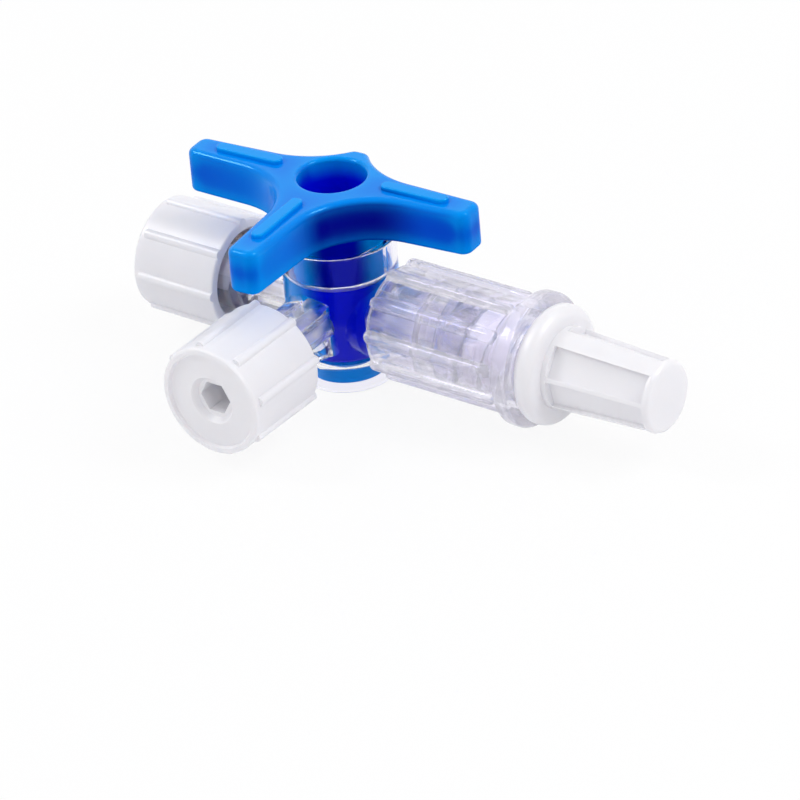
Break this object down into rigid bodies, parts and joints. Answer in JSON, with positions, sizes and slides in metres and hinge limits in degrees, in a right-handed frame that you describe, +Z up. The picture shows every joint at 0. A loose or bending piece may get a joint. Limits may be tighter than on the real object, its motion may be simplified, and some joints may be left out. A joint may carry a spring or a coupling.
{
  "type": "three way stopcock",
  "caption": "Clear medical stopcock with a blue T handle on a tapered plug, capped female luer ports and a male luer port with a spinning lock collar and a stopper.",
  "frame": {"origin": "centre of the underside of the barrel's foot, on the barrel's axis", "axes": "+Z up along the barrel to the handle, +X along the male luer port, -Y along the front female port, -X along the rear female port"},
  "size_m": [0.0542, 0.0257, 0.0201],
  "materials": {
    "clear_body": "clear moulded polycarbonate",
    "clear_collar": "clear moulded polycarbonate",
    "blue_handle": "smooth moulded polyethylene",
    "white_cap": "smooth moulded polyethylene"
  },
  "bodies": {
    "body": {"stopcock_body": "clear_body"},
    "handle": {"handle_plug": "blue_handle"},
    "collar": {"lock_collar": "clear_collar"},
    "front_cap": {"front_port_cap": "white_cap"},
    "rear_cap": {"rear_port_cap": "white_cap"},
    "male_cap": {"male_port_cap": "white_cap"}
  },
  "joints": [
    {"name": "handle_turn", "type": "hinge", "parent": "body", "child": "handle", "pos_m": [0, 0, 0.00685], "axis": [0, 0, 1], "continuous": true},
    {"name": "collar_spin", "type": "hinge", "parent": "body", "child": "collar", "pos_m": [0.01165, 0, 0.00685], "axis": [1, 0, 0], "continuous": true},
    {"name": "front_cap_pull", "type": "slide", "parent": "body", "child": "front_cap", "axis": [0, -1, 0], "range_m": [0, 0.012]},
    {"name": "rear_cap_pull", "type": "slide", "parent": "body", "child": "rear_cap", "axis": [-1, 0, 0], "range_m": [0, 0.012]},
    {"name": "male_cap_pull", "type": "slide", "parent": "body", "child": "male_cap", "axis": [1, 0, 0], "range_m": [0, 0.014]}
  ]
}
